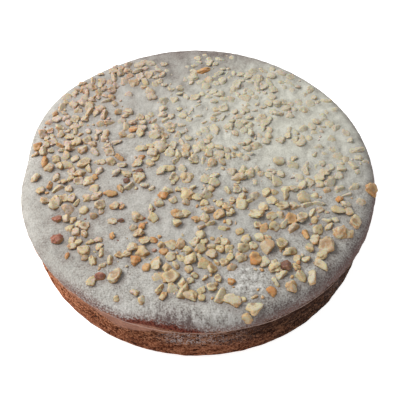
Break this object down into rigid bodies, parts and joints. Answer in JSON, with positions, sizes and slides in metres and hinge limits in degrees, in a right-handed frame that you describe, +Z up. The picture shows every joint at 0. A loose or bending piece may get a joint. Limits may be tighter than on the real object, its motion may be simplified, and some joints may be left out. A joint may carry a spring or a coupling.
{
  "type": "carrot cake",
  "caption": "Whole round carrot cake with a browned wall, its top dusted with icing sugar and strewn with chopped hazelnuts.",
  "frame": {"origin": "centre of the flat base, on the surface that the cake stands on", "axes": "+Z up through the middle of the cake, -Y towards its front, +X to its right"},
  "size_m": [0.238, 0.2399, 0.0557],
  "materials": {
    "sugared_crust": "matt baked crust under icing sugar"
  },
  "bodies": {
    "root": {"cake": "sugared_crust"}
  },
  "joints": []
}
